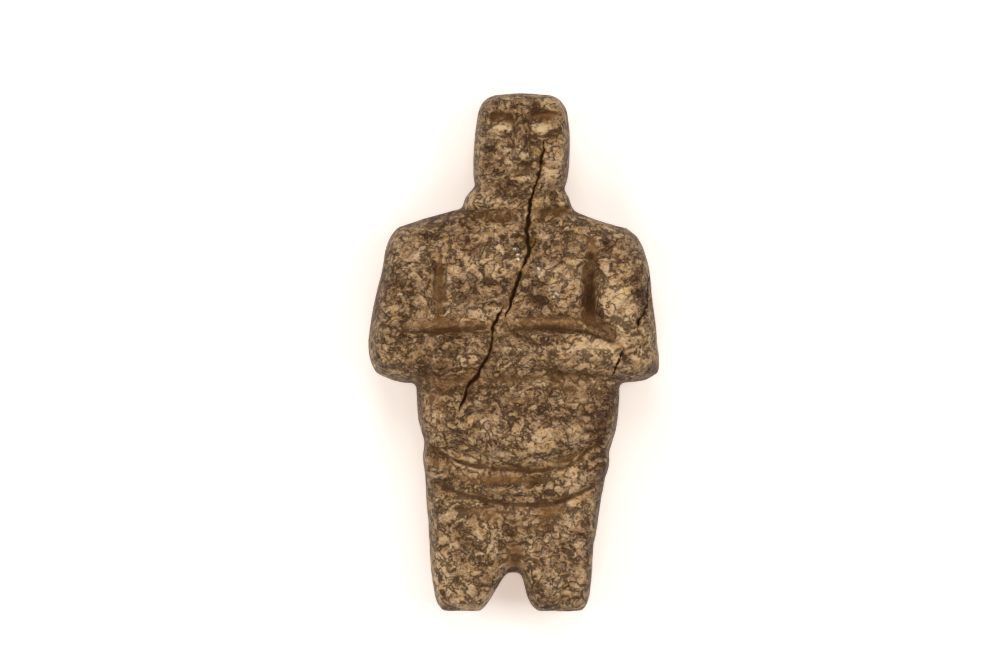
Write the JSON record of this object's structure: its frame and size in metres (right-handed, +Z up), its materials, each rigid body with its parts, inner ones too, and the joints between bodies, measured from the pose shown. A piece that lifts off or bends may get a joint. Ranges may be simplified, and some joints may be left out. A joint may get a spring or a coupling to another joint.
{
  "type": "granite female figure",
  "caption": "Small standing woman carved from one granite cobble, with a block head, folded forearms, a round belly, a hip roll and short stump legs; lies on its back.",
  "frame": {"origin": "under the middle of the figure as it lies on its back, level with what it lies on", "axes": "+Y from the soles to the crown, +X to the right as the figure is looked at, +Z up out of the chest"},
  "size_m": [0.147, 0.26, 0.0558],
  "materials": {
    "granite": "worn satin polish on mottled tan and dark brown grain, with ochre patina in the hollows"
  },
  "bodies": {
    "root": {"figure": "granite"}
  },
  "joints": []
}
